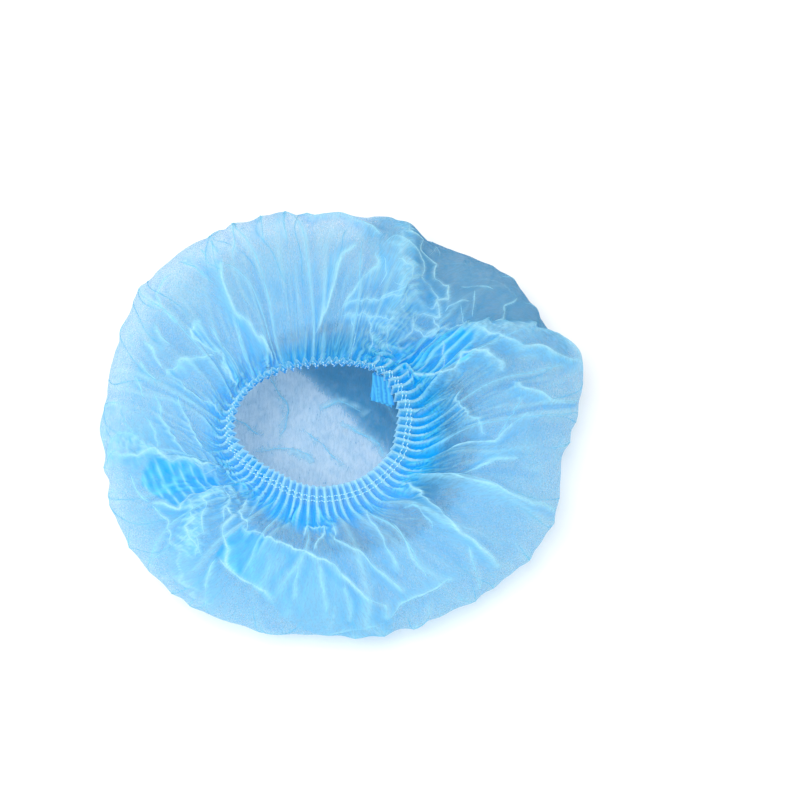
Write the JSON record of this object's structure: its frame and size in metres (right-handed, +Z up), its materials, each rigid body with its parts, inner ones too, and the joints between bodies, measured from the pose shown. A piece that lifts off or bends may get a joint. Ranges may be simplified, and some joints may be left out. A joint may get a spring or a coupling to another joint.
{
  "type": "disposable bouffant hairnet",
  "caption": "Disposable bouffant hairnet of sheer blue nonwoven cloth, lying on its puffed crown with the gathered elastic mouth facing up.",
  "frame": {"origin": "on the floor, under the middle of the cap's outline", "axes": "+Z up through the mouth, +X along the wider side of the mouth, +Y away from the side that the picture is taken from"},
  "size_m": [0.3034, 0.3, 0.0751],
  "materials": {
    "nonwoven_cloth": "sheer light blue spunbond polypropylene, matt and slightly fibrous",
    "nonwoven_hem": "the same cloth folded double and gathered, so a deeper blue",
    "elastic_thread": "pale matt elastic thread",
    "pressed_seal": "pleated cloth pressed and heat sealed with rows of dots"
  },
  "bodies": {
    "root": {"crown": "nonwoven_cloth", "hem_frill": "nonwoven_hem", "elastic_outer": "elastic_thread", "elastic_inner": "elastic_thread", "end_seal_back": "pressed_seal", "end_seal_front": "pressed_seal"}
  },
  "joints": []
}
